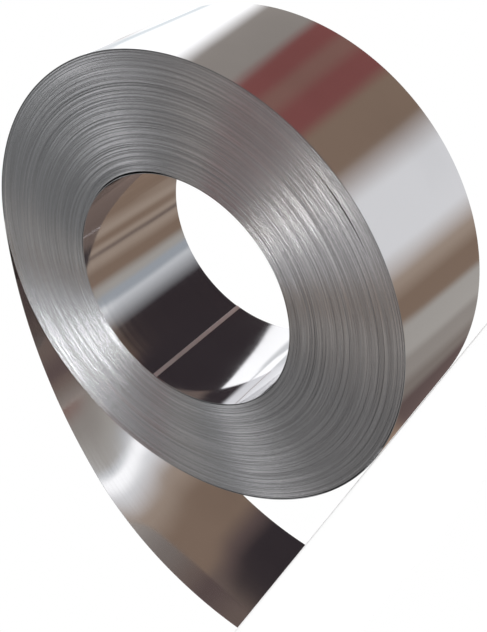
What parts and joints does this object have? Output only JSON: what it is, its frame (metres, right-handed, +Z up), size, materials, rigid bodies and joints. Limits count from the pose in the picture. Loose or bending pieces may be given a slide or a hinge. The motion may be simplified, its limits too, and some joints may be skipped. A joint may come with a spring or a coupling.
{
  "type": "steel coil",
  "caption": "Slit coil of bright steel strip standing on its rim, with an open bore and a free outer end sprung away from the coil and resting on its cut edge.",
  "frame": {"origin": "centre of the bore, midway between the coil's two end faces", "axes": "+Y along the bore, +Z up as the coil stands on its rim, and the free end lies on the -X side"},
  "size_m": [0.5165, 0.123, 0.387],
  "materials": {
    "bright_strip": "bright cold-rolled strip, mirror-like on its faces and satin on the slit edges that make the coil's end faces"
  },
  "bodies": {
    "root": {"steel_strip_coil": "bright_strip"}
  },
  "joints": []
}
